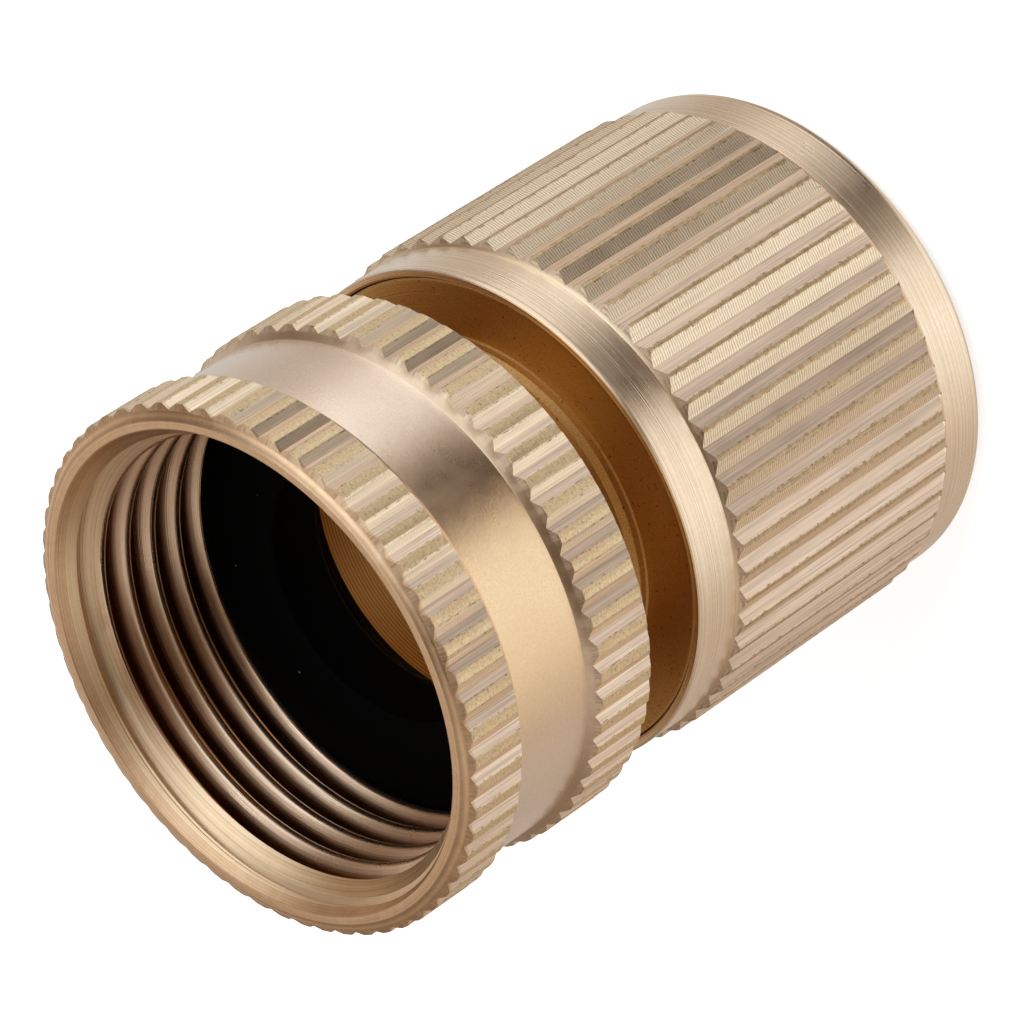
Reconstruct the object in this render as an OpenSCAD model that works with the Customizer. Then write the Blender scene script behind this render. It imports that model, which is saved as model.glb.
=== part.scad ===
// Brass quick connector for a hose: threaded head, neck and ball-lock socket with a sliding sleeve.
// It stands on its socket end. The axis is Z, and the thread mouth faces up.

/* [Threaded head] */
// Outer diameter of the thread, at the bottom of its grooves
thread_major_d = 26.44; // [25.5:0.02:28]
// Height of the thread's crests above its grooves
thread_crest_h = 1.16; // [0.8:0.02:1.5]
// Depth from the mouth to the end of the thread
thread_depth = 9.25; // [7:0.05:14]
// Turns of full thread between the countersink and the washer
thread_turns = 4; // [3:1:6]
// Depth of the countersink at the mouth
countersink_h = 2; // [1:0.1:3]
// Flat width of the face at the mouth
mouth_land = 0.45; // [0.2:0.05:0.6]
// Wall between the thread and the smooth waist
head_wall = 0.78; // [0.7:0.01:1.4]
// How far the knurled bands stand above the waist
band_rise = 0.6; // [0.5:0.05:1]
// Length of the knurled band at the mouth
front_band_h = 3.65; // [3:0.05:4.5]
// Length of the knurled band at the neck, with its bevels
rear_band_h = 5.15; // [4:0.05:6]
// Length of the outer bevel at the mouth
mouth_bevel_h = 0.2; // [0.1:0.05:0.8]
// Bevel at the rear of the head
rear_bevel = 1.3; // [0.6:0.1:1.5]
// Length of the bevel at the rear of the head
rear_bevel_h = 1; // [0.5:0.1:1.5]
// Thickness of the floor that the washer sits on
floor_t = 1.55; // [1.5:0.05:2.5]

/* [Knurling] */
// Ridges around the head
head_ridges = 60; // [48:1:72]
// Depth of the grooves of the head
head_knurl_depth = 0.27; // [0.15:0.01:0.48]
// Ridges around the sleeve
sleeve_ridges = 56; // [48:1:72]
// Depth of the grooves of the sleeve
sleeve_knurl_depth = 0.34; // [0.2:0.01:0.6]

/* [Hose washer] */
// Thickness of the washer
washer_t = 3.45; // [2.5:0.05:4]
// How far the washer reaches in over the bore
washer_lip = 1.5; // [0.3:0.05:2.5]

/* [Bore and neck] */
// Width of the seat between the thread's grooves and the bore
seat_w = 4.57; // [3.5:0.01:5]
// Wall of the neck
neck_wall = 1.3; // [1.1:0.05:2]
// Depth of the recess under the washer
recess_h = 1.3; // [0.8:0.1:1.5]

/* [Socket] */
// Step that stops the plug in the socket
plug_stop = 0.65; // [0.4:0.05:1]
// Depth of the socket down to that step
plug_depth = 15.5; // [14.5:0.1:18]
// Wall of the socket tube
tube_wall = 2.1; // [2:0.05:2.4]
// Length of the tube beyond the retaining ring
tube_end = 1; // [0.8:0.1:2]
// Thickness of the flange that backs the spring
flange_t = 2; // [1.2:0.1:3]
// Section of the seal ring
seal_d = 1.8; // [1.5:0.05:1.9]
// Distance from the balls up to the seal ring
seal_rise = 6.9; // [6:0.1:7.5]

/* [Ball lock] */
// Number of balls
ball_count = 6; // [6:1:6]
// Diameter of a ball
ball_d = 3.2; // [3:0.05:3.5]
// Travel of the sleeve
travel = 3.2; // [2.4:0.1:3.6]
// Length of the spring with the sleeve at rest
spring_h = 12.5; // [11:0.1:16]
// Wire of the spring
spring_wire_d = 1.2; // [1:0.05:1.4]
// Turns of the spring
spring_turns = 6; // [5:0.5:6.5]
// Thickness of the retaining ring
ring_t = 1; // [0.8:0.05:1.3]
// Opening of the retaining ring, in degrees
ring_opening = 24; // [15:1:50]

/* [Sleeve] */
// Wall of the sleeve under the smooth front band
sleeve_wall = 0.47; // [0.45:0.01:1]
// Length of the smooth front band
sleeve_band_h = 2.85; // [2:0.05:5]
// How far the end collar stands above the smooth front band
collar_rise = 0.15; // [0.05:0.05:0.3]
// Length of the end collar, without its bevel
collar_h = 2.35; // [1.5:0.05:4]
// Length of the bevel on the end collar
collar_bevel_h = 0.7; // [0.4:0.1:1.5]
// How far the balls' ridge reaches above the balls
ridge_rise = 3.1; // [2.4:0.1:4]

/* [Clearances] */
// Running gap between the sleeve and the flange
run_gap = 0.15; // [0.1:0.05:0.4]
// Gap on each side of the spring
spring_gap = 0.4; // [0.3:0.05:0.6]
// Gap around a ball
ball_gap = 0.06; // [0.04:0.01:0.1]
// Gap that is left between parts that seat on each other
seat_gap = 0.05; // [0.03:0.01:0.1]
// Gap around the washer
washer_gap = 0.4; // [0.2:0.05:0.6]
// Gap between the raised sleeve and the head
stop_gap = 0.45; // [0.3:0.05:1]
// How far the tube stands out past the sleeve, so that the connector stands on the tube
foot_gap = 0.5; // [0.3:0.05:0.7]

/* [Hidden] */
$fn = 96;

// Radii of the head
major_r = thread_major_d / 2;
minor_r = major_r - thread_crest_h;
thread_pitch = (thread_depth - countersink_h) / thread_turns;
waist_r = major_r + head_wall;
head_r = waist_r + band_rise;
head_root_r = head_r - head_knurl_depth;
mouth_gap = 0.13;
countersink_r = major_r + mouth_gap;
washer_r = major_r - washer_gap;

// Radii of the neck and the socket
bore_r = major_r - seat_w;
washer_hole_r = bore_r - washer_lip;
neck_r = bore_r + neck_wall;
recess_step = 0.55;
recess_r = bore_r + recess_step;
neck_foot_r = neck_r + 0.3;
neck_foot_h = 0.45;
socket_r = bore_r + plug_stop;
tube_r = socket_r + tube_wall;

// Balls: their centres lie so that each ball stands a little above the tube
ball_r = ball_d / 2;
ball_stand = 0.15;
ball_seat_r = tube_r + ball_stand - ball_r;
ball_lift = socket_r - (ball_seat_r - ball_r) + seat_gap;
ball_ratio = ball_lift / travel;
ball_lip = 0.15;
ball_mouth_r = sqrt(pow(ball_r + ball_gap, 2) - pow(ball_seat_r - socket_r - ball_lip, 2));
ball_turn = 360 / ball_count;

// Radii of the sleeve
chamber_r = tube_r + spring_wire_d + 2 * spring_gap;
flange_r = chamber_r - run_gap;
spring_r = tube_r + spring_gap + spring_wire_d / 2;
ridge_r = ball_seat_r + ball_r + ball_gap;
ramp_reach = (ball_r + ball_gap) * sqrt(1 + pow(ball_ratio, 2));
sleeve_r = chamber_r + sleeve_wall;
sleeve_root_r = sleeve_r + 0.11;
sleeve_tip_r = sleeve_root_r + sleeve_knurl_depth;
collar_r = sleeve_r + collar_rise;
collar_end_r = collar_r - 0.6;
ring_room_r = chamber_r - 0.1;
ring_r = ring_room_r - 0.3;
ring_groove_r = tube_r - 0.6;

// Heights above the socket end
ring_z = tube_end;
shoulder_z = ring_z + ring_t + seat_gap;
ball_z = shoulder_z + travel + seat_gap;
ridge_top_z = ball_z + ridge_rise;
seal_z = ball_z + seal_rise;
flange_z = ridge_top_z + spring_h;
flange_top_z = flange_z + flange_t;
lip_rise = 0.1;
lip_set = 0.2;
flange_edge = 0.15;
sleeve_top_z = flange_top_z + lip_set;
sleeve_bottom_z = foot_gap;
head_z = sleeve_top_z + travel + stop_gap;
seat_z = head_z + floor_t;
thread_z = seat_z + washer_t;
mouth_z = thread_z + thread_depth;
waist_top_z = mouth_z - front_band_h;
waist_bottom_z = head_z + rear_band_h;
knurl_top_z = sleeve_top_z - sleeve_band_h;
knurl_bottom_z = sleeve_bottom_z + collar_bevel_h + collar_h;

// Small bevels and overlaps
edge = 0.3;
band_bevel_h = 0.5;
ridge_spare = 0.02;
over = 1;
brass = "#c9ae86";
steel = "#b9bdc0";
rubber = "#141414";

// Section of a straight knurl: grooves of depth tip_r - root_r, with ridges that are flat over a share of the pitch
function knurl_points(tip_r, root_r, ridges, flat, turn) = [
    for (i = [0:ridges - 1], k = [0, 1, 2])
        let (
            pitch = 360 / ridges,
            angle = turn + i * pitch + (k == 0 ? 0 : k == 1 ? pitch * (1 - flat) / 2 : pitch * (1 + flat) / 2),
            r = k == 0 ? root_r : tip_r
        )
        [r * cos(angle), r * sin(angle)]
];

module knurled_bar(tip_r, root_r, ridges, flat, turn, z0, z1) {
    translate([0, 0, z0])
        linear_extrude(z1 - z0)
            polygon(knurl_points(tip_r, root_r, ridges, flat, turn));
}

// A solid ring or bar turned from points of radius and height
module turned(points) {
    rotate_extrude()
        polygon(points);
}

// Outer shape of the head: two knurled bands with the smooth waist between them
module head_blank() {
    intersection() {
        knurled_bar(head_r + ridge_spare, head_root_r, head_ridges, 0.29, -1.45, head_z, mouth_z);
        turned([
            [0, head_z],
            [head_r - rear_bevel, head_z],
            [head_r, head_z + rear_bevel_h],
            [head_r, waist_bottom_z - band_bevel_h],
            [waist_r, waist_bottom_z],
            [waist_r, waist_top_z - band_bevel_h],
            [head_r, waist_top_z],
            [head_r, mouth_z - mouth_bevel_h],
            [countersink_r + mouth_land, mouth_z],
            [0, mouth_z]
        ]);
    }
}

// Outer shape of the neck, the flange and the socket tube, with the groove for the retaining ring
module stem_blank() {
    turned([
        [0, 0],
        [tube_r - edge, 0],
        [tube_r, edge],
        [tube_r, ring_z - seat_gap],
        [ring_groove_r, ring_z - seat_gap],
        [ring_groove_r, ring_z + ring_t + seat_gap],
        [tube_r, ring_z + ring_t + seat_gap],
        [tube_r, flange_z],
        [flange_r - flange_edge, flange_z],
        [flange_r, flange_z + flange_edge],
        [flange_r, flange_top_z - flange_edge],
        [flange_r - flange_edge, flange_top_z],
        [neck_foot_r, flange_top_z],
        [neck_foot_r, flange_top_z + neck_foot_h],
        [neck_r, flange_top_z + neck_foot_h + edge],
        [neck_r, head_z + over],
        [0, head_z + over]
    ]);
}

// Profile of the thread from its lower end upwards, as grooves of the same pitch and depth that close on themselves
function thread_points() = [
    for (i = [0:thread_turns - 1], k = [0:3])
        let (
            shares = [0.09, 0.42, 0.58, 0.91],
            r = k == 0 || k == 3 ? minor_r : major_r
        )
        [r, thread_z + (i + shares[k]) * thread_pitch]
];

// Everything that is bored out along the axis, from the socket to the mouth
module axial_bores() {
    socket_bevel = 0.6;
    seal_groove_r = socket_r + seal_d * 0.7;
    seal_groove_h = seal_d * 1.3;
    turned(concat([
        [0, -over],
        [socket_r + socket_bevel + over, -over],
        [socket_r, socket_bevel],
        [socket_r, seal_z - seal_groove_h / 2],
        [seal_groove_r, seal_z - seal_groove_h / 2],
        [seal_groove_r, seal_z + seal_groove_h / 2],
        [socket_r, seal_z + seal_groove_h / 2],
        [socket_r, plug_depth],
        [bore_r, plug_depth],
        [bore_r, seat_z - recess_h - edge],
        [recess_r, seat_z - recess_h],
        [recess_r, seat_z],
        [major_r, seat_z],
        [major_r, thread_z],
        [minor_r, thread_z]
    ], thread_points(), [
        [minor_r, mouth_z - countersink_h],
        [countersink_r, mouth_z],
        [countersink_r, mouth_z + over],
        [0, mouth_z + over]
    ]));
}

// One ball hole, wide from outside and with a narrow mouth on the inside that keeps the ball in
module ball_hole() {
    translate([socket_r + ball_lip, 0, ball_z])
        rotate([0, 90, 0])
            cylinder(r = ball_r + ball_gap, h = tube_wall + over);
    translate([socket_r - over, 0, ball_z])
        rotate([0, 90, 0])
            cylinder(r = ball_mouth_r, h = 2 * over);
}

module connector_body() {
    color(brass)
        difference() {
            union() {
                head_blank();
                stem_blank();
            }
            axial_bores();
            for (i = [0:ball_count - 1])
                rotate([0, 0, i * ball_turn])
                    ball_hole();
        }
}

module hose_washer() {
    color(rubber)
        turned([
            [washer_hole_r, seat_z],
            [washer_r, seat_z],
            [washer_r, thread_z],
            [washer_hole_r, thread_z]
        ]);
}

// The inside of the sleeve, from the socket end: room for the ring, release ramp, ridge, spring chamber, lip
module sleeve_bore() {
    ramp_low_r = ball_seat_r + ball_ratio * (ball_z - shoulder_z) + ramp_reach;
    ramp_top_z = ball_z + (ramp_reach + ball_seat_r - ridge_r) / ball_ratio;
    turned([
        [0, sleeve_bottom_z - over],
        [ring_room_r, sleeve_bottom_z - over],
        [ring_room_r, shoulder_z],
        [ramp_low_r, shoulder_z],
        [ridge_r, ramp_top_z],
        [ridge_r, ridge_top_z],
        [chamber_r, ridge_top_z],
        [chamber_r, sleeve_top_z - lip_rise],
        [chamber_r + lip_rise, sleeve_top_z],
        [chamber_r + lip_rise, sleeve_top_z + over],
        [0, sleeve_top_z + over]
    ]);
}

module release_sleeve() {
    tooth_run = 0.34;
    tooth_end = 0.45;
    lip_edge = 0.1;
    color(brass)
        difference() {
            union() {
                turned([
                    [0, sleeve_bottom_z],
                    [collar_end_r, sleeve_bottom_z],
                    [collar_r, sleeve_bottom_z + collar_bevel_h],
                    [collar_r, knurl_bottom_z],
                    [sleeve_r - lip_edge, knurl_bottom_z + tooth_end],
                    [sleeve_r - lip_edge, knurl_top_z - over],
                    [sleeve_r, knurl_top_z - over],
                    [sleeve_r, sleeve_top_z - lip_edge],
                    [sleeve_r - lip_edge, sleeve_top_z],
                    [0, sleeve_top_z]
                ]);
                intersection() {
                    knurled_bar(sleeve_tip_r + ridge_spare, sleeve_root_r, sleeve_ridges, 0.03, 0.6,
                        knurl_bottom_z, knurl_top_z);
                    turned([
                        [0, knurl_bottom_z],
                        [collar_r - lip_edge, knurl_bottom_z],
                        [sleeve_tip_r, knurl_bottom_z + tooth_end],
                        [sleeve_tip_r, knurl_top_z - tooth_run],
                        [sleeve_r - lip_edge, knurl_top_z],
                        [0, knurl_top_z]
                    ]);
                }
            }
            sleeve_bore();
        }
}

// Height of the spring wire's centre after a share s of its turns: flat end coils, even pitch between them
function spring_height(s) =
    let (
        turns_flat = 0.75,
        rise = spring_h - spring_wire_d,
        closed = turns_flat * spring_wire_d * 0.9,
        t = s * spring_turns,
        middle = spring_turns - 2 * turns_flat
    )
    t < turns_flat ? closed * t / turns_flat
    : t > spring_turns - turns_flat ? rise - closed * (spring_turns - t) / turns_flat
    : closed + (rise - 2 * closed) * (t - turns_flat) / middle;

module sleeve_spring() {
    sides = 8;
    rings = round(20 * spring_turns);
    wire_r = spring_wire_d / 2;
    points = [
        for (i = [0:rings], k = [0:sides - 1])
            let (
                s = i / rings,
                turn = 360 * spring_turns * s,
                a = 360 * k / sides,
                r = spring_r + wire_r * cos(a)
            )
            [r * cos(turn), r * sin(turn), ridge_top_z + wire_r + spring_height(s) + wire_r * sin(a)]
    ];
    walls = [
        for (i = [0:rings - 1], k = [0:sides - 1])
            let (j = (k + 1) % sides)
            [i * sides + k, (i + 1) * sides + k, (i + 1) * sides + j, i * sides + j]
    ];
    first = [for (k = [0:sides - 1]) k];
    last = [for (k = [sides - 1:-1:0]) rings * sides + k];
    color(steel)
        polyhedron(points, concat(walls, [first], [last]), convexity = 10);
}

module seal_ring() {
    ring_centre_r = socket_r + seal_d * 0.7 - seal_d / 2;
    color(rubber)
        translate([0, 0, seal_z])
            rotate_extrude()
                translate([ring_centre_r, 0])
                    circle(d = seal_d);
}

module retaining_ring() {
    color(steel)
        translate([0, 0, ring_z])
            rotate([0, 0, ring_opening / 2])
                rotate_extrude(angle = 360 - ring_opening)
                    translate([ring_groove_r + seat_gap, 0])
                        square([ring_r - ring_groove_r - seat_gap, ring_t]);
}

module locking_ball(number) {
    color(steel)
        rotate([0, 0, (number - 1) * ball_turn])
            translate([ball_seat_r, 0, ball_z])
                sphere(r = ball_r);
}

connector_body();
hose_washer();
release_sleeve();
sleeve_spring();
seal_ring();
retaining_ring();
locking_ball(1);  // locking_ball_1
locking_ball(2);  // locking_ball_2
locking_ball(3);  // locking_ball_3
locking_ball(4);  // locking_ball_4
locking_ball(5);  // locking_ball_5
locking_ball(6);  // locking_ball_6
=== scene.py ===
# %% [markdown]
# # A brass quick connector for a garden hose
# The connector is four turned or moulded pieces with a few small steel ones inside. The threaded head, the neck
# and the socket tube are one piece of brass. A black rubber washer lies at the bottom of the thread. A knurled
# brass sleeve slides on the tube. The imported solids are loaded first, because every piece that is made here has
# to sit exactly where its solid sits.

# %% Load the frame
import math
import bpy
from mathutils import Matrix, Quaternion, Vector


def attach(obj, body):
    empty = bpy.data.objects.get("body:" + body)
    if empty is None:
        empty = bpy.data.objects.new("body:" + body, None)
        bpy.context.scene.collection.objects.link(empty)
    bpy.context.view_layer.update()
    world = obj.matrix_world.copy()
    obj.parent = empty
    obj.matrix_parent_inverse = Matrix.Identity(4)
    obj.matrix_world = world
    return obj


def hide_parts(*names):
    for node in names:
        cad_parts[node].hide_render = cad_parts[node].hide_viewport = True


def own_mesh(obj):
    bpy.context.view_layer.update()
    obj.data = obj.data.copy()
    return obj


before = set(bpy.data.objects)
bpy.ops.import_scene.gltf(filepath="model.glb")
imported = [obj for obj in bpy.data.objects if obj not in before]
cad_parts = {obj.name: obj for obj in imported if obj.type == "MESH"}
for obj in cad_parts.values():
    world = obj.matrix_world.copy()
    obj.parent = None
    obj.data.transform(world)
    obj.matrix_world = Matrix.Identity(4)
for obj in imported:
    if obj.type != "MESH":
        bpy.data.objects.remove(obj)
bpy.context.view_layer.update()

# %% [markdown]
# ## Sizes
# All sizes are in millimetres, as a turner reads them from a drawing, and become metres only where Blender needs
# them. Heights run upwards from the socket end, so the thread mouth is at 41 mm. The turns are in degrees: they
# put the first ridge where the photograph shows it. All that lies beyond OUTSIDE_R is the outside of the waist.

# %% Sizes of the real connector
MM = 0.001
FULL_TURN = 2 * math.pi
MOUTH_Z = 41.0
WASHER_Z = 31.75
SEAT_Z = 28.3
HEAD_Z = 26.75
HEAD_R = 14.6
WAIST_R = 14.0
HEAD_GROOVE_R = 14.33
HEAD_TURN = -1.45
HEAD_RIDGES = 60
SLEEVE_R = 13.87
SLEEVE_TIP_R = 14.32
SLEEVE_GROOVE_R = 13.98
SLEEVE_TURN = 1.15
SLEEVE_RIDGES = 56
COLLAR_R = 14.02
PITCH = 1.814
CREST_R = 12.06
THREAD_GROOVE_R = 13.2
OUTSIDE_R = 13.9
SAME_SPOT = 2e-6
print("corners closer than", SAME_SPOT / MM, "mm are taken for one")
print("thread pitch is", PITCH, "mm, so", round((MOUTH_Z - WASHER_Z) / PITCH, 1), "turns fit in the head")

# %% [markdown]
# ## Small helpers
# Operators act on whatever is selected, so each step starts with one object selected and nothing else. A closed
# profile that is spun all the way round is what a lathe makes, and it is how all the round pieces start.

# %% Select one object, and open it in edit mode
def choose(piece):
    bpy.ops.object.select_all(action="DESELECT")
    piece.select_set(True)
    bpy.context.view_layer.objects.active = piece


def open_mesh(piece, mode="VERT"):
    choose(piece)
    bpy.ops.object.mode_set(mode="EDIT")
    bpy.ops.mesh.select_mode(type=mode)
    bpy.ops.mesh.select_all(action="SELECT")


def close_mesh():
    bpy.ops.object.mode_set(mode="OBJECT")


# %% Turn a closed profile on the lathe
def draw_profile(name, profile):
    bpy.ops.object.select_all(action="DESELECT")
    bpy.ops.mesh.primitive_plane_add(size=MM)
    piece = bpy.context.object
    piece.name = name
    open_mesh(piece)
    bpy.ops.mesh.merge(type="CENTER")
    bpy.ops.transform.translate(value=(profile[0][0] * MM, 0, profile[0][1] * MM))
    for here, there in zip(profile, profile[1:]):
        step = ((there[0] - here[0]) * MM, 0, (there[1] - here[1]) * MM)
        bpy.ops.mesh.extrude_region_move(TRANSFORM_OT_translate={"value": step})
    close_mesh()
    return piece


def turn_on_lathe(name, profile, steps):
    piece = draw_profile(name, profile + profile[:1])
    open_mesh(piece)
    bpy.ops.mesh.remove_doubles(threshold=SAME_SPOT)
    bpy.ops.mesh.spin(steps=steps, angle=FULL_TURN, center=(0, 0, 0), axis=(0, 0, 1))
    bpy.ops.mesh.select_all(action="SELECT")
    bpy.ops.mesh.remove_doubles(threshold=SAME_SPOT)
    bpy.ops.mesh.normals_make_consistent(inside=False)
    close_mesh()
    print(name, "turned:", len(piece.data.polygons), "faces")
    return piece


# %% Round the corner of a profile
def rounded(centre_r, centre_z, radius, start, end, points=5):
    corner = []
    for i in range(points):
        angle = math.radians(start + (end - start) * i / (points - 1))
        corner.append((centre_r + radius * math.cos(angle), centre_z + radius * math.sin(angle)))
    return corner


# %% Cut one piece with another
def cut_away(piece, tool):
    choose(piece)
    cut = piece.modifiers.new("cut", "BOOLEAN")
    cut.operation = "DIFFERENCE"
    cut.solver = "EXACT"
    cut.object = tool
    bpy.ops.object.modifier_apply(modifier="cut")
    choose(tool)
    bpy.ops.object.delete()
    print(piece.name, "after the cut:", len(piece.data.polygons), "faces")


# %% [markdown]
# ## Knurling tool
# The straight ridges are cut, not rolled: every groove is one pass of a pointed tool along the piece. One
# three-sided bar stands for one pass. It is cut across a few times and copied around the axis, then all its
# corners are moved by a hundredth or two of a millimetre, so that the edges of the grooves wander a little, as
# they do when a blunt tool leaves burrs.

# %% Make the bars that cut the grooves
CLEAR_R = 15.3
BAR_LENGTHS = 7
WANDER = 0.012


def knurling_tool(name, groove_r, tip_r, width, ridges, turn, bottom, top, seed):
    """A ring of three-sided bars, each as wide as the groove where it meets the tips of the ridges."""
    reach = CLEAR_R - groove_r
    half_width = width / 2 * reach / (tip_r - groove_r)
    radius = reach / 1.5
    middle = ((groove_r + radius) * MM, 0, (bottom + top) / 2 * MM)
    bpy.ops.object.select_all(action="DESELECT")
    bpy.ops.mesh.primitive_cylinder_add(vertices=3, radius=radius * MM, depth=(top - bottom) * MM, location=middle)
    tool = bpy.context.object
    tool.name = name
    open_mesh(tool)
    bpy.ops.transform.rotate(value=math.radians(90), orient_axis="Z", center_override=middle)
    close_mesh()
    bpy.ops.object.transform_apply(location=True, rotation=True, scale=True)
    point_inwards(tool, groove_r)
    stretch = half_width / (radius * math.sin(math.radians(60)))
    open_mesh(tool)
    bpy.ops.transform.resize(value=(1, stretch, 1), center_override=(0, 0, 0))
    for i in range(1, BAR_LENGTHS):
        height = (bottom + (top - bottom) * i / BAR_LENGTHS) * MM
        bpy.ops.mesh.select_all(action="SELECT")
        bpy.ops.mesh.bisect(plane_co=(0, 0, height), plane_no=(0, 0, 1))
    close_mesh()
    open_mesh(tool)
    bpy.ops.transform.rotate(value=-math.radians(turn), orient_axis="Z", center_override=(0, 0, 0))
    share = (ridges - 1) / ridges
    bpy.ops.mesh.select_all(action="SELECT")
    bpy.ops.mesh.spin(steps=ridges - 1, angle=FULL_TURN * share, dupli=True, center=(0, 0, 0), axis=(0, 0, 1))
    bpy.ops.mesh.select_all(action="SELECT")
    bpy.ops.transform.vertex_random(offset=WANDER * MM, seed=seed)
    bpy.ops.mesh.normals_make_consistent(inside=False)
    close_mesh()
    print(name, "has", len(tool.data.polygons), "faces")
    return tool


# %% Aim the bar's edge at the axis, because without a window a turn may go the other way
def point_inwards(tool, groove_r):
    innermost = min(v.co.x for v in tool.data.vertices)
    if abs(innermost - groove_r * MM) > 1e-5:
        centre = sum((v.co for v in tool.data.vertices), Vector()) / len(tool.data.vertices)
        open_mesh(tool)
        bpy.ops.transform.rotate(value=math.pi, orient_axis="Z", center_override=centre)
        close_mesh()
    print("inner edge at", round(min(v.co.x for v in tool.data.vertices) / MM, 3), "mm")


# %% [markdown]
# ## Brass body
# The body is one bar of brass. Its profile is drawn once, outside going up and inside coming down, and spun in
# 240 steps, so that four of them fall on each ridge of the head. A second corner just beside each edge keeps the
# long faces smooth right up to it. The bore is left too small where the thread goes, because the thread is cut
# from it.

# %% Turn the blank of the body
body_outside = [
    (9.9, 0), (11.1, 0), (11.4, 0.3), (11.4, 0.95), (10.8, 0.95), (10.8, 2.05), (11.4, 2.05), (11.4, 20.9),
    (13.24, 20.9), (13.34, 21.0), (13.34, 21.1), (13.34, 22.7), (13.34, 22.8), (13.31, 22.87), (13.24, 22.9),
    (13.14, 22.9), (10.45, 22.9), (10.35, 22.9), (10.25, 22.98), (10.25, 23.35), (9.95, 23.65), (9.95, 23.75),
    (9.95, 26.45), (9.95, 26.55), (10.15, HEAD_Z), (13.2, HEAD_Z), (13.35, 26.8), (14.55, 27.7), (HEAD_R, 27.77),
    (HEAD_R, 27.85), (HEAD_R, 31.27), (HEAD_R, 31.35), (14.57, 31.4), (14.02, 31.86), (WAIST_R, 31.9),
    (WAIST_R, 31.98), (WAIST_R, 36.66), (WAIST_R, 36.74), (14.03, 36.78), (14.57, 37.32), (HEAD_R, 37.37),
    (HEAD_R, 37.45), (HEAD_R, 40.5), (HEAD_R, 40.58), (14.57, 40.63), (13.84, 40.98), (13.76, MOUTH_Z),
    (13.4, MOUTH_Z), (13.33, 40.96), (13.28, 40.88)
]
body_inside = [
    (11.56, 38.22), (11.5, 38.13), (11.5, WASHER_Z), (13.22, WASHER_Z), (13.22, SEAT_Z), (9.25, SEAT_Z),
    (9.2, 28.25), (9.2, 27.0), (8.65, 26.7), (8.65, 15.5), (9.3, 15.5), (9.3, 13.37), (10.56, 13.37),
    (10.56, 11.03), (9.3, 11.03), (9.3, 0.6)
]
body = turn_on_lathe("brass_body", body_outside + body_inside, 240)

# %% [markdown]
# ## Thread
# The thread is a pipe thread with a 55 degree form and rounded crests. One pitch of its profile is carried round
# and up by a Screw modifier, nine times. The ends are cut square and filled, which gives a solid tap. The tap is
# then cut out of the blank. The cone at the mouth is already in the blank, so the first turn runs out on it in a
# long curved edge, which is what the eye sees first when it looks into such a fitting.

# %% Make the tap from one pitch of thread
CREST_Z = 38.673
TAP_TURNS = 9
TAP_STEPS = 120
TAP_BOTTOM, TAP_TOP = 31.4, 41.7
crest_at_zero = CREST_Z - 5 * PITCH
thread_form = [
    (THREAD_GROOVE_R, -0.907), (13.14, -0.8), (12.99, -0.7), (12.27, -0.34), (12.15, -0.25), (12.08, -0.13),
    (CREST_R, 0), (12.08, 0.13), (12.15, 0.25), (12.27, 0.34), (12.99, 0.7), (13.14, 0.8),
    (THREAD_GROOVE_R, 0.907)
]
tap = draw_profile("tap", [(r, crest_at_zero + z) for r, z in thread_form])
choose(tap)
winding = tap.modifiers.new("winding", "SCREW")
winding.axis = "Z"
winding.angle = FULL_TURN
winding.screw_offset = PITCH * MM
winding.iterations = TAP_TURNS
winding.steps = TAP_STEPS
winding.render_steps = TAP_STEPS
winding.use_merge_vertices = True
winding.merge_threshold = SAME_SPOT
bpy.ops.object.modifier_apply(modifier="winding")
open_mesh(tap)
bpy.ops.mesh.remove_doubles(threshold=SAME_SPOT)
bpy.ops.mesh.select_all(action="SELECT")
bpy.ops.mesh.bisect(plane_co=(0, 0, TAP_BOTTOM * MM), plane_no=(0, 0, 1), use_fill=True, clear_inner=True)
bpy.ops.mesh.select_all(action="SELECT")
bpy.ops.mesh.bisect(plane_co=(0, 0, TAP_TOP * MM), plane_no=(0, 0, 1), use_fill=True, clear_outer=True)
bpy.ops.mesh.select_all(action="SELECT")
bpy.ops.mesh.normals_make_consistent(inside=False)
close_mesh()
print("tap has", len(tap.data.polygons), "faces")

# %% Cut the thread, the ball holes and the ridges
cut_away(body, tap)

BALLS = 6
BALL_Z = 5.3
HOLE_AT_R, HOLE_R, HOLE_DEPTH = 10.6, 1.66, 2.3
for i in range(BALLS):
    angle = FULL_TURN * i / BALLS
    place = (HOLE_AT_R * MM * math.cos(angle), HOLE_AT_R * MM * math.sin(angle), BALL_Z * MM)
    bpy.ops.object.select_all(action="DESELECT")
    bpy.ops.mesh.primitive_cylinder_add(
        vertices=32, radius=HOLE_R * MM, depth=HOLE_DEPTH * MM, location=place, rotation=(0, math.pi / 2, angle))
    cut_away(body, bpy.context.object)

head_tool = knurling_tool(
    "head_tool", HEAD_GROOVE_R, HEAD_R, width=1.06, ridges=HEAD_RIDGES, turn=HEAD_TURN, bottom=25.9, top=41.9,
    seed=4)
cut_away(body, head_tool)

# %% [markdown]
# ## Sleeve
# The sleeve is a tube with a smooth band at the front, ridges in the middle and a smooth collar at the end. Its
# inside has a ridge for the balls, a ramp that lets them out, and a chamber for the spring. The ridges stand
# above both smooth bands and end in a bevel at each of them.

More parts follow.
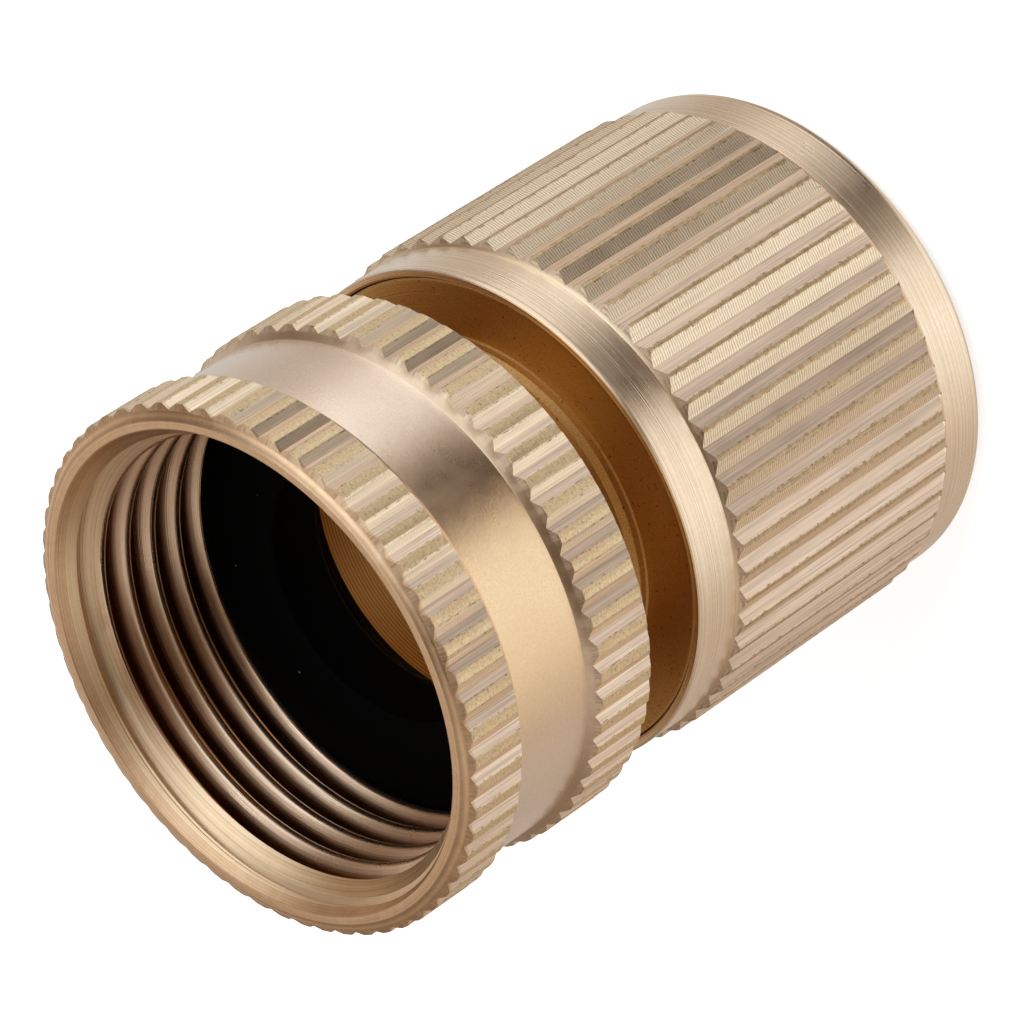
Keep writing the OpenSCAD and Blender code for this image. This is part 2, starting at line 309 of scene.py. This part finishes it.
# %% Turn the sleeve and cut its ridges
sleeve_outside = rounded(13.42, 1.1, 0.6, -90, 0, 9) + [
    (COLLAR_R, 1.18), (COLLAR_R, 3.48), (COLLAR_R, 3.56), (14.04, 3.6), (14.3, 3.98), (SLEEVE_TIP_R, 4.03),
    (SLEEVE_TIP_R, 19.92), (14.3, 19.97), (13.89, 20.28), (SLEEVE_R, 20.31), (SLEEVE_R, 20.39),
    (SLEEVE_R, 22.9), (SLEEVE_R, 22.98), (13.84, 23.06), (13.76, 23.1), (13.56, 23.1), (13.47, 23.07)
]
sleeve_inside = [
    (13.4, 22.98), (13.4, 8.4), (11.61, 8.4), (11.61, 5.55), (12.7, 2.05), (13.3, 2.05), (13.3, 0.5)
]
sleeve = turn_on_lathe("brass_sleeve", sleeve_outside + sleeve_inside, 224)
sleeve_tool = knurling_tool(
    "sleeve_tool", SLEEVE_GROOVE_R, SLEEVE_TIP_R, width=1.54, ridges=SLEEVE_RIDGES, turn=SLEEVE_TURN, bottom=3.52,
    top=21.2, seed=9)
cut_away(sleeve, sleeve_tool)

# %% [markdown]
# ## Hose washer
# The washer is moulded rubber with soft edges. It lies loose on its seat, so it has a small gap all round.

# %% Turn the washer
washer_profile = rounded(7.4, 28.55, 0.25, 180, 270) + rounded(12.55, 28.57, 0.27, -90, 0)
washer_profile += rounded(12.55, 31.48, 0.27, 0, 90) + rounded(7.4, 31.5, 0.25, 90, 180)
washer = turn_on_lathe("rubber_washer", washer_profile, 160)

# %% [markdown]
# ## Shading
# A lathe leaves truly round faces, so the flat facets are shaded as one round face. Wherever two faces meet at
# more than a few degrees, the edge stays sharp, as a machined edge is. Moulded rubber is a little softer.

# %% Smooth the round faces and keep the machined edges sharp
for piece, degrees in ((body, 24), (sleeve, 24), (washer, 35)):
    choose(piece)
    bpy.ops.object.shade_smooth_by_angle(angle=math.radians(degrees))
    print(piece.name, "is smooth up to", degrees, "degrees")

# %% [markdown]
# ## Colours and nodes
# The colours are written as they would be picked from a screen, and one function turns them into the linear
# values that the shaders use. One more function adds a node, sets what it is given and links what is a socket.

# %% Colour and node helpers
def linear(code):
    values = []
    for i in (1, 3, 5):
        share = int(code[i:i + 2], 16) / 255
        values.append(share / 12.92 if share <= 0.04045 else ((share + 0.055) / 1.055) ** 2.4)
    return (*values, 1)


def add_node(tree, kind, inputs=None, **settings):
    node = tree.nodes.new(kind)
    for name, value in settings.items():
        setattr(node, name, value)
    for name, value in (inputs or {}).items():
        if isinstance(value, bpy.types.NodeSocket):
            tree.links.new(value, node.inputs[name])
        else:
            node.inputs[name].default_value = value
    return node


def new_material(name, base, metallic, roughness):
    material = bpy.data.materials.new(name)
    material.use_nodes = True
    shader = material.node_tree.nodes["Principled BSDF"]
    shader.inputs["Base Color"].default_value = linear(base)
    shader.inputs["Metallic"].default_value = metallic
    shader.inputs["Roughness"].default_value = roughness
    return material, material.node_tree, shader


def give(piece, material):
    piece.data.materials.clear()
    piece.data.materials.append(material)


# %% [markdown]
# ## Turned brass
# The brass is bare and machined, neither polished nor lacquered. The eye sees three things on it: rings that the
# turning tool left, wherever the surface is round or flat, fine lines across the ridges where the knurling tool
# chattered, and a rough top on each ridge, where the metal was pushed up. All three are drawn in the piece's own
# cylinder coordinates: the distance from the axis, the angle round it and the height. The finest real marks
# would not show at the size of the picture, so rings are drawn no finer than 0.075 mm and grain than 0.07 mm.

# %% Node helpers for patterns; their sizes are in millimetres
def calculate(tree, operation, *values):
    return add_node(tree, "ShaderNodeMath", dict(enumerate(values)), operation=operation).outputs[0]


def ramp(tree, value, start, end):
    """0 at the start, 1 at the end, smooth in between; both in millimetres."""
    return add_node(
        tree, "ShaderNodeMapRange", {"Value": value, "From Min": start * MM, "From Max": end * MM},
        interpolation_type="SMOOTHSTEP").outputs[0]


def ramp_of(tree, value, start, end, low=0.0, high=1.0):
    """From low to high while a plain number goes from start to end."""
    return add_node(tree, "ShaderNodeMapRange", {
        "Value": value, "From Min": start, "From Max": end, "To Min": low, "To Max": high}).outputs[0]


def between(tree, value, low, high, soft=0.05):
    """1 between two sizes in millimetres and 0 outside them."""
    return calculate(
        tree, "MULTIPLY", ramp(tree, value, low - soft, low + soft), ramp(tree, value, high + soft, high - soft))


def noise(tree, place, size, detail=3, roughness=0.6):
    """Noise whose grains are as large as the size in millimetres."""
    return add_node(
        tree, "ShaderNodeTexNoise",
        {"Vector": place, "Scale": 1 / (size * MM), "Detail": detail, "Roughness": roughness}).outputs[0]


def point(tree, x, y, z=0.0):
    return add_node(tree, "ShaderNodeCombineXYZ", {0: x, 1: y, 2: z}).outputs[0]


def mix(tree, factor, first, second):
    return add_node(tree, "ShaderNodeMix", {"Factor": factor, "A": first, "B": second}).outputs["Result"]


def tint(tree, factor, first, second):
    """Mix two colours, each a screen colour or the output of an earlier mix."""
    colours = [linear(c) if isinstance(c, str) else c for c in (first, second)]
    return add_node(
        tree, "ShaderNodeMix", {"Factor": factor, "A": colours[0], "B": colours[1]},
        data_type="RGBA").outputs["Result"]


def cylinder_coordinates(tree):
    place = add_node(tree, "ShaderNodeTexCoord").outputs["Object"]
    split = add_node(tree, "ShaderNodeSeparateXYZ", {0: place})
    flat = point(tree, split.outputs[0], split.outputs[1])
    radius = add_node(tree, "ShaderNodeVectorMath", {0: flat}, operation="LENGTH").outputs["Value"]
    angle = calculate(tree, "ARCTAN2", split.outputs[1], split.outputs[0])
    return place, radius, angle, split.outputs[2]


# %% Marks of turning: fine rings, a little deeper in some places than in others
def turning_marks(tree, place, radius, height):
    along = calculate(tree, "MULTIPLY_ADD", radius, 0.83, height)
    drift = calculate(tree, "MULTIPLY_ADD", noise(tree, place, 6, 1), 0.1 * MM, along)
    fine = add_node(
        tree, "ShaderNodeTexNoise", {"W": drift, "Scale": 1 / (0.075 * MM), "Detail": 0, "Roughness": 0.4},
        noise_dimensions="1D").outputs[0]
    broad = add_node(
        tree, "ShaderNodeTexNoise", {"W": drift, "Scale": 1 / (0.3 * MM), "Detail": 0, "Roughness": 0.5},
        noise_dimensions="1D").outputs[0]
    rings = mix(tree, 0.25, fine, broad)
    worn = noise(tree, place, 0.2, 2)
    return mix(tree, 0.2, rings, worn)


# %% Marks on the ridges: chatter across, streaks along, and a rough top
CHATTER = 0.17


def ridge_marks(tree, place, height, turns, share, top, chatter_share):
    number = calculate(tree, "FLOOR", turns)
    flow = calculate(tree, "MULTIPLY_ADD", number, 2.3, calculate(tree, "MULTIPLY", share, 3.0))
    waves = calculate(tree, "MULTIPLY_ADD", height, FULL_TURN / (CHATTER * MM), flow)
    unrest = calculate(tree, "MULTIPLY_ADD", noise(tree, place, 0.6, 2), 9.0, waves)
    chatter = calculate(tree, "MULTIPLY_ADD", calculate(tree, "SINE", unrest), 0.32, 0.5)
    along = point(tree, calculate(tree, "MULTIPLY", turns, 13.0), calculate(tree, "MULTIPLY", height, 90.0))
    streaks = add_node(
        tree, "ShaderNodeTexNoise", {"Vector": along, "Scale": 1.0, "Detail": 3, "Roughness": 0.7}).outputs[0]
    across = point(tree, calculate(tree, "MULTIPLY", turns, 5.0), calculate(tree, "MULTIPLY", height, 7000.0))
    torn = add_node(
        tree, "ShaderNodeTexNoise", {"Vector": across, "Scale": 1.0, "Detail": 3, "Roughness": 0.7}).outputs[0]
    rising = calculate(tree, "LESS_THAN", share, 0.5)
    woven = mix(tree, chatter_share, streaks, chatter)
    flank = mix(tree, rising, streaks, woven)
    rough = mix(tree, 0.5, torn, noise(tree, place, 0.12, 2, 0.7))
    return mix(tree, top, flank, rough), rising, rough


# %% Where the ridges are, and how far each point is from one groove to the next
def ridge_places(tree, radius, angle, height, ridges, turn, groove_r, bands):
    in_bands = None
    for low, high in bands:
        here = between(tree, height, low, high)
        in_bands = here if in_bands is None else calculate(tree, "MAXIMUM", in_bands, here)
    outside = calculate(tree, "GREATER_THAN", radius, (groove_r - 0.06) * MM)
    knurled = calculate(tree, "MULTIPLY", in_bands, outside)
    turns = calculate(tree, "MULTIPLY_ADD", angle, ridges / FULL_TURN, -turn * ridges / 360)
    return knurled, turns, calculate(tree, "FRACT", turns)


# %% Colour: warmer in some places, with brown specks where the edge of a ridge is torn
def brass_colour(tree, place, radius, cloud, knurled, top, rising, tip_r, top_colour):
    plain = tint(tree, cloud, "#F9E4CB", "#F2D7B7")
    sides = tint(tree, rising, "#F6DEC6", "#F8E2C4")
    ridge = tint(tree, top, sides, top_colour)
    border = calculate(tree, "MULTIPLY", ramp(tree, radius, tip_r - 0.06, tip_r - 0.04), knurled)
    torn_side = calculate(tree, "MULTIPLY", border, ramp_of(tree, noise(tree, place, 0.3, 3), 0.5, 0.7))
    torn_side = calculate(tree, "MULTIPLY", torn_side, calculate(tree, "SUBTRACT", 1.0, top))
    return tint(tree, torn_side, tint(tree, knurled, plain, ridge), "#8F6A42")


# %% Brass of the body and of the sleeve
RELIEF = 0.01


def turned_brass(name, ridges, turn, groove_r, tip_r, bands, chatter_share, top_colour, satin=None):
    """Brass with its marks. The falling side of each groove is duller, because the tool tears it."""
    material, tree, shader = new_material(name, "#F3E0C4", 1.0, 0.28)
    spot = cylinder_coordinates(tree)
    place, radius, angle, height = spot
    knurled, turns, share = ridge_places(tree, radius, angle, height, ridges, turn, groove_r, bands)
    top = ramp(tree, radius, tip_r - 0.03, tip_r - 0.01)
    rings = turning_marks(tree, place, radius, height)
    marks, rising, rough = ridge_marks(tree, place, height, turns, share, top, chatter_share)
    turned = rings
    if satin:
        soft = calculate(
            tree, "MULTIPLY", between(tree, height, *satin), calculate(tree, "GREATER_THAN", radius, OUTSIDE_R * MM))
        haze = mix(tree, 0.3, noise(tree, place, 0.12, 2), rings)
        turned = mix(tree, soft, rings, calculate(tree, "MULTIPLY", haze, 0.5))
    relief = mix(tree, knurled, turned, marks)
    swell = calculate(tree, "MULTIPLY_ADD", noise(tree, place, 1.3, 2), 0.6, relief)
    bump = add_node(
        tree, "ShaderNodeBump", {"Strength": 1.0, "Distance": RELIEF * MM, "Height": swell}).outputs[0]
    tree.links.new(bump, shader.inputs["Normal"])

    cloud = noise(tree, place, 3.5, 4)
    metal = brass_colour(tree, place, radius, cloud, knurled, top, rising, tip_r, top_colour)
    light = mix(
        tree, knurled, ramp_of(tree, rings, 0.25, 0.75, 0.82, 1.26), ramp_of(tree, marks, 0.25, 0.75, 0.62, 1.2))
    on_top = calculate(tree, "MULTIPLY", top, knurled)
    pitted = ramp_of(tree, rough, 0.42, 0.34, 1.0, 0.6)
    shadow = calculate(tree, "MULTIPLY", light, mix(tree, on_top, 1.0, pitted))
    dull = ramp_of(tree, cloud, 0.3, 0.7, 0.24, 0.34)
    dull = calculate(tree, "MULTIPLY_ADD", knurled, mix(tree, rising, 0.18, 0.06), dull)
    dull = calculate(tree, "MULTIPLY_ADD", on_top, 0.12, dull)
    return material, tree, shader, spot, (metal, shadow, dull, knurled)


def finish_brass(tree, shader, metal, shadow, dull):
    colour = add_node(tree, "ShaderNodeVectorMath", {0: metal, "Scale": shadow}, operation="SCALE").outputs[0]
    tree.links.new(colour, shader.inputs["Base Color"])
    tree.links.new(dull, shader.inputs["Roughness"])


# %% Sleeve: a thin torn edge on each ridge
sleeve_brass, tree, shader, spot, look_of = turned_brass(
    "turned brass with cut ridges, sleeve", SLEEVE_RIDGES, SLEEVE_TURN, SLEEVE_GROOVE_R, SLEEVE_TIP_R,
    bands=[(3.7, 20.2)], chatter_share=0.6, top_colour="#F3DAB2")
place, radius, angle, height = spot
metal, shadow, dull, knurled = look_of
edge = calculate(tree, "MULTIPLY", ramp(tree, radius, SLEEVE_TIP_R - 0.02, SLEEVE_TIP_R - 0.008), knurled)
torn_edge = calculate(tree, "MULTIPLY", edge, noise(tree, place, 0.3, 2))
metal = tint(tree, torn_edge, metal, "#B39068")
finish_brass(tree, shader, metal, shadow, dull)
give(sleeve, sleeve_brass)
print("the sleeve's brass is made of", len(tree.nodes), "nodes")

# %% [markdown]
# ## Brass of the body
# The body is the same brass, with places of its own. The waist between the ridged bands is smooth as satin, and
# one side of it is painted warmer, a painted reflection of warm light. The neck and the bore are painted brown, a
# painted shade for the light bounced between brass walls in these recesses, and speckled, and the bore shows the
# rings of the drill. The thread is painted darker in its grooves, a painted shade. The cone at the mouth is duller
# than the bands, and the rim is browner.

# %% Body: a smooth waist
WAIST = (31.9, 36.8)
WARM_LIT_SIDE = 105
body_brass, tree, shader, spot, look_of = turned_brass(
    "turned brass with cut ridges, body", HEAD_RIDGES, HEAD_TURN, HEAD_GROOVE_R, HEAD_R,
    bands=[(27.4, 31.6), (37.1, 40.9)], chatter_share=0.1, top_colour="#F3DAB0", satin=WAIST)
place, radius, angle, height = spot
metal, shadow, dull, knurled = look_of
waist = calculate(
    tree, "MULTIPLY", between(tree, height, *WAIST), calculate(tree, "GREATER_THAN", radius, OUTSIDE_R * MM))
# Painted reflection: one side of the waist is tinted a warmer brass, for the warmer light reflected there.
facing = calculate(tree, "COSINE", calculate(tree, "ADD", angle, math.radians(WARM_LIT_SIDE)))
warm_lit_side = add_node(
    tree, "ShaderNodeMapRange", {"Value": facing, "From Min": 0.75, "From Max": 0.98},
    interpolation_type="SMOOTHSTEP").outputs[0]
metal = tint(tree, waist, metal, tint(tree, warm_lit_side, "#F4DEC8", "#F2D3AA"))
haze_shade = ramp_of(tree, noise(tree, place, 0.12, 3), 0.25, 0.75, 0.92, 1.08)
shadow = mix(tree, waist, shadow, haze_shade)

# %% Body: painted shade and specks on the neck and in the bore
neck = calculate(
    tree, "MULTIPLY", between(tree, height, 20.5, 27.0), calculate(tree, "LESS_THAN", radius, 13.4 * MM))
bore = calculate(
    tree, "MULTIPLY", between(tree, height, -1.0, 28.35), calculate(tree, "LESS_THAN", radius, 9.6 * MM))
shaded_recess = calculate(tree, "MAXIMUM", neck, bore)
spots = ramp_of(tree, noise(tree, place, 0.2, 3), 0.36, 0.3)
# Painted shade: the neck and the bore are tinted brown for the light bounced between brass walls in these recesses;
# the dark specks are the grain of the surface.
recess_shade_and_specks = tint(tree, spots, "#CFA66C", "#7E5A30")
metal = tint(tree, shaded_recess, metal, tint(tree, bore, recess_shade_and_specks, "#DDB476"))
DRILL_FEED = 0.2
drill_rings = calculate(tree, "SINE", calculate(tree, "MULTIPLY", height, FULL_TURN / (DRILL_FEED * MM)))
drilled = calculate(tree, "MULTIPLY_ADD", drill_rings, 0.25, 0.5)
sandy = ramp_of(tree, mix(tree, bore, noise(tree, place, 0.07, 2), drilled), 0.25, 0.75, 0.7, 1.25)
shadow = mix(tree, shaded_recess, shadow, sandy)

# %% Body: painted shade in the grooves of the thread, a dull cone and a brown rim
inner = calculate(
    tree, "MULTIPLY", between(tree, height, 31.5, 39.1), calculate(tree, "LESS_THAN", radius, 13.3 * MM))
metal = tint(tree, inner, metal, "#F6DBC2")
# Painted shade: the thread is tinted dark brown towards the bottom of its grooves.
groove_shade = calculate(tree, "MULTIPLY", ramp(tree, radius, 12.3, 12.85), inner)
metal = tint(tree, groove_shade, metal, "#7C4E26")
cone = calculate(tree, "MULTIPLY", ramp(tree, height, 39.0, 39.3), ramp(tree, radius, 13.45, 13.35))
metal = tint(tree, cone, metal, "#F6DAB6")
rim = ramp(tree, height, 40.5, 40.6)
metal = tint(tree, rim, metal, tint(tree, noise(tree, place, 0.6, 3), "#F4D6B4", "#DDB68E"))
duller = calculate(tree, "MULTIPLY_ADD", shaded_recess, 0.08, dull)
duller = calculate(tree, "MULTIPLY_ADD", cone, 0.08, duller)
finish_brass(tree, shader, metal, shadow, duller)
give(body, body_brass)
print("the body's brass is made of", len(tree.nodes), "nodes")

# %% [markdown]
# ## Rubber and steel
# The washer and the seal ring are black nitrile rubber: dark, matt, with a faint sheen and a little dust. The
# spring is drawn stainless wire, the retaining ring is stamped stainless sheet, and the balls are ground and
# polished.

# %% Rubber
rubber, tree, shader = new_material("black nitrile rubber", "#010101", 0.0, 0.65)
shader.inputs["Specular IOR Level"].default_value = 0.06
place = add_node(tree, "ShaderNodeTexCoord").outputs["Object"]
dust = ramp_of(tree, noise(tree, place, 2 / 3, 2, 0.5), 0.74, 0.8)
tree.links.new(tint(tree, dust, "#010101", "#77736C"), shader.inputs["Base Color"])
skin = noise(tree, place, 0.25, 3, 0.5)
bump = add_node(tree, "ShaderNodeBump", {"Strength": 0.4, "Distance": 0.02 * MM, "Height": skin}).outputs[0]
tree.links.new(bump, shader.inputs["Normal"])
give(washer, rubber)
print("the rubber is made of", len(tree.nodes), "nodes")


# %% Steel
def steel(name, base, roughness, grain):
    """Steel that is a little shinier in some grains than in others; the grain size is in millimetres."""
    material, tree, shader = new_material(name, base, 1.0, roughness)
    place = add_node(tree, "ShaderNodeTexCoord").outputs["Object"]
    grains = noise(tree, place, grain, 4, 0.5)
    tree.links.new(
        ramp_of(tree, grains, 0.0, 1.0, roughness * 0.8, roughness * 1.3), shader.inputs["Roughness"])
    bump = add_node(
        tree, "ShaderNodeBump", {"Strength": 0.3, "Distance": 0.01 * MM, "Height": grains}).outputs[0]
    tree.links.new(bump, shader.inputs["Normal"])
    return material


finishes = {
    "sleeve_spring": steel("drawn stainless wire", "#B4B6B8", 0.32, 0.33),
    "retaining_ring": steel("stamped stainless sheet", "#A9ABAD", 0.38, 0.56),
    "seal_ring": rubber,
}
ball_finish = steel("ground and polished steel", "#C9CBCD", 0.12, 0.4)
for number in range(1, BALLS + 1):
    finishes["locking_ball_%d" % number] = ball_finish
for name, finish in finishes.items():
    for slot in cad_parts[name].material_slots:
        slot.material = finish
print("finishes given to", len(finishes), "solids that keep their shape")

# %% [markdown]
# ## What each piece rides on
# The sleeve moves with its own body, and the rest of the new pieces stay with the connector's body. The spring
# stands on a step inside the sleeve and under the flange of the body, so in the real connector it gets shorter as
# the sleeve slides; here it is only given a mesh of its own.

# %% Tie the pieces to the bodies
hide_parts("connector_body")
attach(body, "body")
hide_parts("hose_washer")
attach(washer, "body")
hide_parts("release_sleeve")
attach(sleeve, "sleeve")

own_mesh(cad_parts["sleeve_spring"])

# %% [markdown]
# ## Studio
# The floor is a plain white sheet. To the camera it is as bright as white paper, with the soft shadow of the
# connector on it. The brass does not mirror it: metal shows only what is around it, and a white floor alone
# would leave it as flat as paint. So reflections pass the floor and see a studio instead, with one large bright
# panel above the connector, one beside it, and the dark gap between them. Smaller panels and shades stand where
# the bevels, the cone and the sides of the ridges look. The light is warmer where it is dim, as the reflections
# in the photograph are.

# %% Floor
bpy.ops.object.select_all(action="DESELECT")
bpy.ops.mesh.primitive_plane_add(size=3)
floor = bpy.context.object
floor.name = "floor"
floor.visible_glossy = False
floor.visible_shadow = False
paper, paper_tree, paper_shader = new_material("white paper", "#F1F3F5", 0.0, 0.9)
seen = add_node(paper_tree, "ShaderNodeLightPath").outputs["Is Camera Ray"]
PAPER_LIGHT = 0.62
shine = add_node(paper_tree, "ShaderNodeEmission", {"Color": (1, 1, 1, 1), "Strength": PAPER_LIGHT})
nothing = add_node(paper_tree, "ShaderNodeEmission", {"Color": (0, 0, 0, 1), "Strength": 0.0})
lift = add_node(paper_tree, "ShaderNodeMixShader", {0: seen, 1: nothing.outputs[0], 2: shine.outputs[0]})
sheet = add_node(paper_tree, "ShaderNodeAddShader", {0: paper_shader.outputs[0], 1: lift.outputs[0]})
paper_tree.links.new(sheet.outputs[0], paper_tree.nodes["Material Output"].inputs["Surface"])
give(floor, paper)

# %% Large panels of the studio
world = bpy.data.worlds.new("studio")
bpy.context.scene.world = world
world.use_nodes = True
sky = world.node_tree
sky.nodes.clear()
look = add_node(sky, "ShaderNodeTexCoord").outputs["Generated"]


def closeness(direction, edge, middle):
    """1 for light from this direction, falling to 0 at the edge; both limits are cosines."""
    aim = Vector(direction)
    cosine = add_node(
        sky, "ShaderNodeVectorMath", {0: look, 1: aim}, operation="DOT_PRODUCT").outputs["Value"]
    return add_node(
        sky, "ShaderNodeMapRange", {"Value": cosine, "From Min": edge, "From Max": middle},
        interpolation_type="SMOOTHSTEP").outputs[0]


cosine_to_seam = add_node(
    sky, "ShaderNodeVectorMath", {0: look, 1: Vector((-0.819, 0.176, -0.546))}, operation="DOT_PRODUCT")
across = calculate(sky, "ADD", cosine_to_seam.outputs["Value"], 0.022)
upper_panel = calculate(
    sky, "MULTIPLY", closeness((0.766, -0.643, 0.0), 0.56, 0.82), calculate(sky, "LESS_THAN", across, 0.0))
side_panel = calculate(
    sky, "MULTIPLY", closeness((-0.137, -0.776, -0.616), 0.4, 1.0), calculate(sky, "GREATER_THAN", across, 0.0))
level = calculate(sky, "MULTIPLY_ADD", upper_panel, 0.57, 0.55)
level = calculate(sky, "MULTIPLY_ADD", side_panel, 0.5, level)
print("two large panels stand round the connector")

# %% Small panels and shades: where each stands, where it begins and is full, and the light it adds
small_sheets = {
    "bright edge": ((0.683, -0.394, -0.616), 0.85, 1.0, 0.2),
    "panel for the bevels": ((0.28, 0.15, 0.948), 0.92, 0.98, 0.8),
    "shade behind the top": ((0.52, 0.45, 0.726), 0.9, 0.98, -0.35),
    "shade for the cone": ((0.967, 0.229, 0.105), 0.8, 0.96, -0.36),
    "low panel": ((0.5, 0.5, -0.707), 0.5, 0.95, 0.1),
    "far shade": ((-0.7, 0.7, 0.17), 0.6, 1.0, -0.3),
    "shade of the lens": ((-0.3, -0.5, 0.81), 0.8, 0.97, -0.42),
    "shade above": ((-0.12, 0.0, 0.993), 0.93, 0.985, -0.48),
}
for direction, edge, middle, change in small_sheets.values():
    level = calculate(sky, "MULTIPLY_ADD", closeness(direction, edge, middle), change, level)
print(len(small_sheets), "small panels and shades stand among them")

# %% The dark gap, and the colour of the light: the dimmer, the warmer
seam = ramp_of(sky, calculate(sky, "ABSOLUTE", across), 0.27, 0.14)
gap = calculate(sky, "MULTIPLY", seam, closeness((0.2, -0.75, -0.63), -0.1, 0.9))
level = calculate(sky, "MULTIPLY", level, calculate(sky, "MULTIPLY_ADD", gap, -0.98, 1.0))
level = calculate(sky, "MAXIMUM", level, 0.01)
warm = add_node(sky, "ShaderNodeCombineColor", {
    0: level, 1: calculate(sky, "POWER", level, 1.2), 2: calculate(sky, "POWER", level, 1.4)}).outputs[0]
cool_side = closeness((0.55, 0.55, -0.63), 0.75, 0.98)
cool = tint(sky, cool_side, (1.0, 1.0, 1.0, 1.0), (1.0, 1.12, 1.25, 1.0))
cool = tint(sky, gap, cool, (1.0, 0.78, 0.6, 1.0))
glow = add_node(sky, "ShaderNodeVectorMath", {0: warm, 1: cool}, operation="MULTIPLY").outputs[0]

# %% What each kind of ray meets: white paper, the studio, or plain light
studio = add_node(sky, "ShaderNodeBackground", {"Color": glow, "Strength": 1.0})
white = add_node(sky, "ShaderNodeBackground", {"Color": (1, 1, 1, 1), "Strength": 1.0})
straight = add_node(sky, "ShaderNodeLightPath").outputs["Is Camera Ray"]
plain_light = add_node(sky, "ShaderNodeBackground", {"Color": (1, 1, 1, 1), "Strength": 0.5})
scattered = add_node(sky, "ShaderNodeLightPath").outputs["Is Diffuse Ray"]
around = add_node(sky, "ShaderNodeMixShader", {0: scattered, 1: studio.outputs[0], 2: plain_light.outputs[0]})
both = add_node(sky, "ShaderNodeMixShader", {0: straight, 1: around.outputs[0], 2: white.outputs[0]})
add_node(sky, "ShaderNodeOutputWorld", {"Surface": both.outputs[0]})
print("the studio is made of", len(sky.nodes), "nodes")

# %% [markdown]
# ## Lamp
# One round lamp of 30 cm, high up and to the side, gives the soft shadow on the floor. Metal would show it as a
# hard white spot, so the brass doesn't mirror it.

# %% Soft lamp that gives the shadow
LAMP_PLACE = (0.22, -0.16, 0.42)
bpy.ops.object.light_add(type="AREA", location=LAMP_PLACE)
lamp = bpy.context.object
lamp.name = "soft_lamp"
lamp.data.shape = "DISK"
lamp.data.size = 0.3
lamp.data.energy = 1.6
print("lamp:", lamp.data.size, "m across,", lamp.data.energy, "watts")
lamp.visible_glossy = False
lamp.rotation_euler = (Vector((0, 0, 0.02)) - lamp.location).to_track_quat("-Z", "Y").to_euler()

# %% [markdown]
# ## Camera
# The photograph looks into the mouth from 38 degrees above, from 328 mm away, with a long lens, and the camera is
# turned on its side so that the mouth points to the lower left.

# %% Camera
ELEVATION, ROLL = 38.03, -123.12
DISTANCE = 0.3279
LENS = 226.4
bpy.ops.object.camera_add()
camera = bpy.context.object
camera.name = "photo_camera"
aim_at = Vector((-0.0003, 0, 0.0217))
elevation = math.radians(ELEVATION)
towards = Vector((0, -math.cos(elevation), math.sin(elevation)))
camera.location = aim_at + towards * DISTANCE
upright = (-towards).to_track_quat("-Z", "Y")
camera.rotation_mode = "QUATERNION"
camera.rotation_quaternion = upright @ Quaternion((0, 0, 1), math.radians(ROLL))
camera.data.sensor_width = 36
camera.data.lens = LENS
camera.data.clip_start = 0.01
bpy.context.scene.camera = camera
bpy.context.scene.view_settings.view_transform = "Standard"
print("camera at", [round(v, 3) for v in camera.location])
